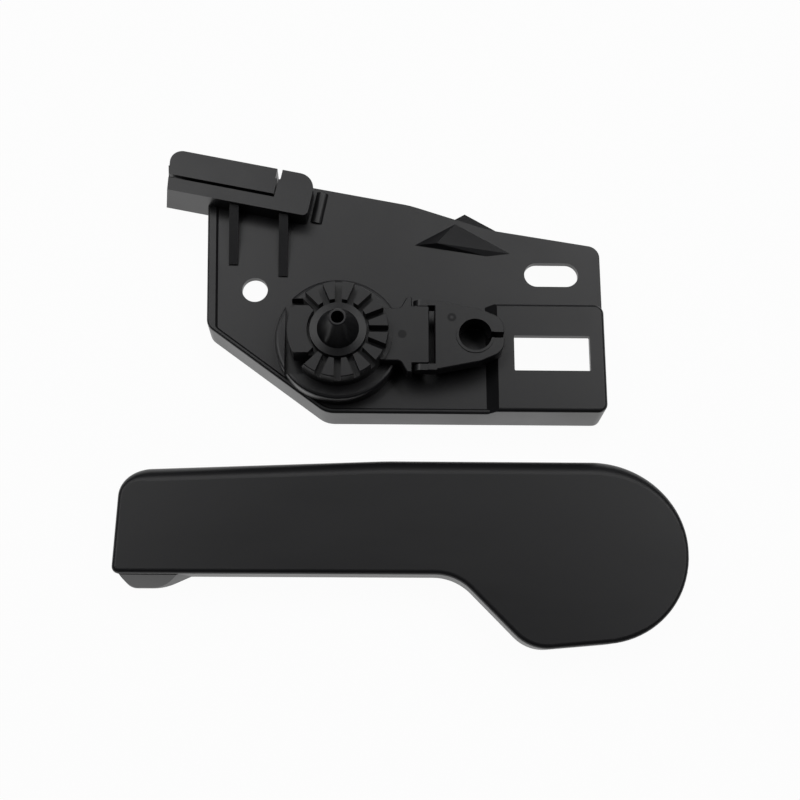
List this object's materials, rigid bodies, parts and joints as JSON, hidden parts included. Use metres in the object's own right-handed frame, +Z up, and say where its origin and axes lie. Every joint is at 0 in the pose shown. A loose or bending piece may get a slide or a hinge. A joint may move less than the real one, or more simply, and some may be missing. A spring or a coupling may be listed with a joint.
{
  "type": "hood release handle",
  "caption": "Hood release handle set: moulded bracket with toothed drive lever and hinged cable eye, beside its press-on pull handle.",
  "frame": {"origin": "the drive lever's turning axis at the level of the bracket's bottom rim", "axes": "+X from the turning axis along the cable, +Y towards the cable channel, +Z up out of the bracket's face"},
  "size_m": [0.1538, 0.1401, 0.033],
  "materials": {
    "bracket_plastic": "moulded black polyamide, satin",
    "lever_plastic": "moulded black acetal, satin",
    "eye_plastic": "moulded black acetal, satin",
    "handle_plastic": "moulded black ABS, fine satin grain"
  },
  "bodies": {
    "base": {"mounting_bracket": "bracket_plastic", "pull_handle": "handle_plastic"},
    "lever": {"drive_lever": "lever_plastic"},
    "eye": {"cable_eye": "eye_plastic"}
  },
  "joints": [
    {"name": "lever_turn", "type": "hinge", "parent": "base", "child": "lever", "pos_m": [0, 0, 0.0161], "axis": [0, 0, 1], "range_deg": [-50, 0]},
    {"name": "eye_tilt", "type": "hinge", "parent": "lever", "child": "eye", "pos_m": [0.0226, 0, 0.0177], "axis": [0, 1, 0], "range_deg": [-20, 2]}
  ]
}
